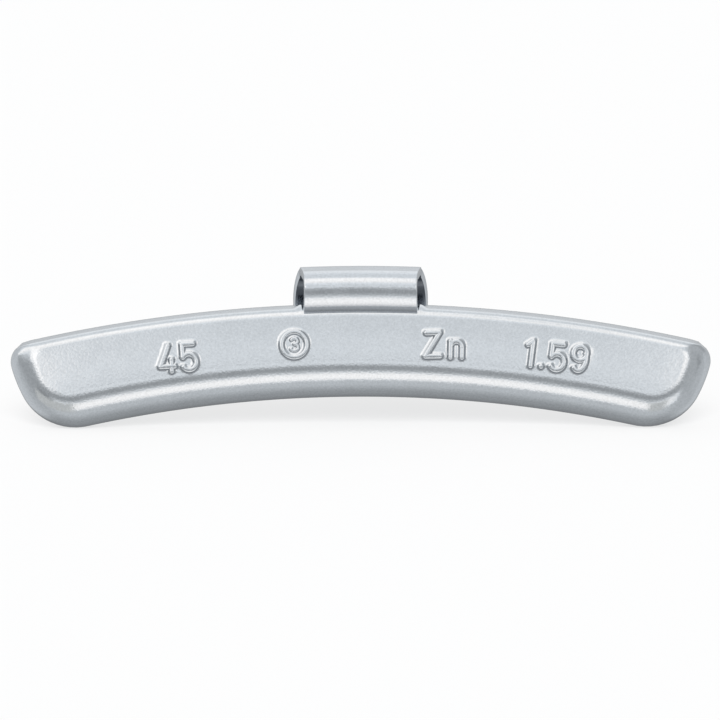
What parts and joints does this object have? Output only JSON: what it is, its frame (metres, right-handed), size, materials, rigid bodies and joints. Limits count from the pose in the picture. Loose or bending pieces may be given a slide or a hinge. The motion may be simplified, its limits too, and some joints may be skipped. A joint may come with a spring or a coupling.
{
  "type": "wheel balance weight",
  "caption": "Clip-on wheel balance weight: a curved die-cast zinc bar with a rolled front edge, and a bent spring-steel clip that hooks over a rim's flange.",
  "frame": {"origin": "middle of the clip's seat on the edge of the rim's flange, in the plane of the bar's back", "axes": "+X along the bar, +Z outwards from the wheel's axis, +Y from the bar's back into the flange; the rolled face points to -Y and the wheel's axis is parallel to Y, 220.3 mm below the origin"},
  "size_m": [0.1, 0.0126, 0.0231],
  "materials": {
    "cast_zinc": "silver-grey die-cast zinc, satin, with a fine grain and soft rolled edges",
    "spring_steel": "zinc-plated spring steel strip, satin"
  },
  "bodies": {
    "root": {"weight_body": "cast_zinc", "spring_clip": "spring_steel"}
  },
  "joints": []
}
